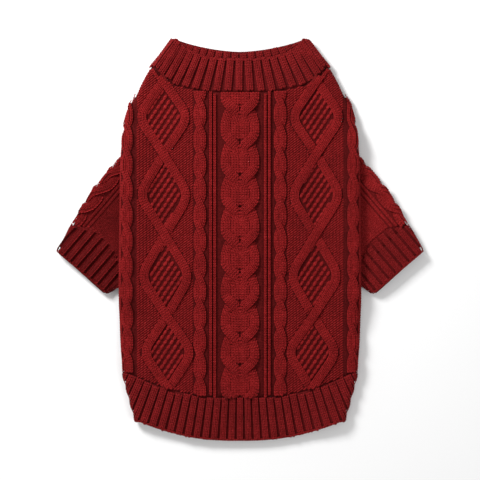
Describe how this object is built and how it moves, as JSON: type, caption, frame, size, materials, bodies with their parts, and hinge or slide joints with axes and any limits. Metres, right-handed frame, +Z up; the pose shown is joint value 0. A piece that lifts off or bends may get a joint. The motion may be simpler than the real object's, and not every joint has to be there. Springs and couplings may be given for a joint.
{
  "type": "dog sweater",
  "caption": "Short-sleeved cable-knit dog sweater with ribbed collar, hem and cuffs, laid flat on its belly with the back up.",
  "frame": {"origin": "under the middle of the flat garment, on the surface it lies on", "axes": "+Y from the hem to the collar, +Z up out of the back panel, +X to the right seen from above"},
  "size_m": [0.3656, 0.4016, 0.0153],
  "materials": {
    "aran_knit": "matte wool-blend yarn in cables, diamonds and moss stitch, slightly fuzzy",
    "plain_knit": "matte wool-blend yarn in stocking stitch, slightly fuzzy",
    "rib_knit": "matte wool-blend yarn in two-by-two rib, slightly fuzzy"
  },
  "bodies": {
    "root": {"back_panel": "aran_knit", "belly_panel": "plain_knit", "collar": "rib_knit", "back_hem_rib": "rib_knit", "belly_hem_rib": "rib_knit", "sleeve_right": "plain_knit", "sleeve_left": "plain_knit", "cuff_right": "rib_knit", "cuff_left": "rib_knit"}
  },
  "joints": []
}
